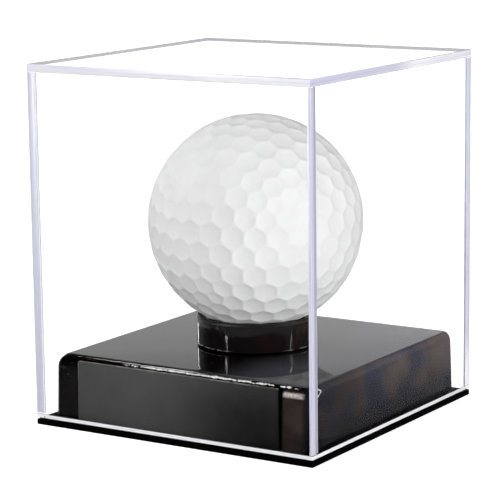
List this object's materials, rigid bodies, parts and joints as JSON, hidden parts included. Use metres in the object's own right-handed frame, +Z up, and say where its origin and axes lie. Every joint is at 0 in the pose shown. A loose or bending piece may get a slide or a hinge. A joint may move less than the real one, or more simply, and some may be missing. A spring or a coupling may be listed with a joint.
{
  "type": "golf ball display case",
  "caption": "Clear lift-off display cube on a thin black plate, with a black riser, ring seat, blank plaque and dimpled ball.",
  "frame": {"origin": "middle of the base plate's underside, at the middle of the whole object's footprint", "axes": "+Z up, the way the cover lifts; the plaque faces -Y; +X to the right seen from the plaque's side"},
  "size_m": [0.063, 0.063, 0.071],
  "materials": {
    "plate_gloss": "glossy black sheet",
    "riser_gloss": "glossy black moulding",
    "ring_gloss": "glossy black tube",
    "plaque_satin": "satin dark grey sheet metal",
    "tape_dark": "thin double-sided tape",
    "clear_acrylic": "clear polished acrylic sheet",
    "core_rubber": "solid rubber",
    "ball_white": "white painted, softly glossy"
  },
  "bodies": {
    "base": {"base_plate": "plate_gloss", "riser_shell": "riser_gloss", "ball_ring": "ring_gloss", "plaque_plate": "plaque_satin", "plaque_tape": "tape_dark"},
    "cover": {"cover_left_panel": "clear_acrylic", "cover_front_panel": "clear_acrylic", "cover_rear_panel": "clear_acrylic", "cover_right_panel": "clear_acrylic", "cover_top_panel": "clear_acrylic"},
    "ball": {"ball_core": "core_rubber", "ball_cover_upper": "ball_white", "ball_cover_lower": "ball_white"}
  },
  "joints": [
    {"name": "cover_lift", "type": "slide", "parent": "base", "child": "cover", "axis": [0, 0, 1], "range_m": [0, 0.08]},
    {"name": "ball_lift", "type": "slide", "parent": "base", "child": "ball", "axis": [0, 0, 1], "range_m": [0, 0.009]}
  ]
}
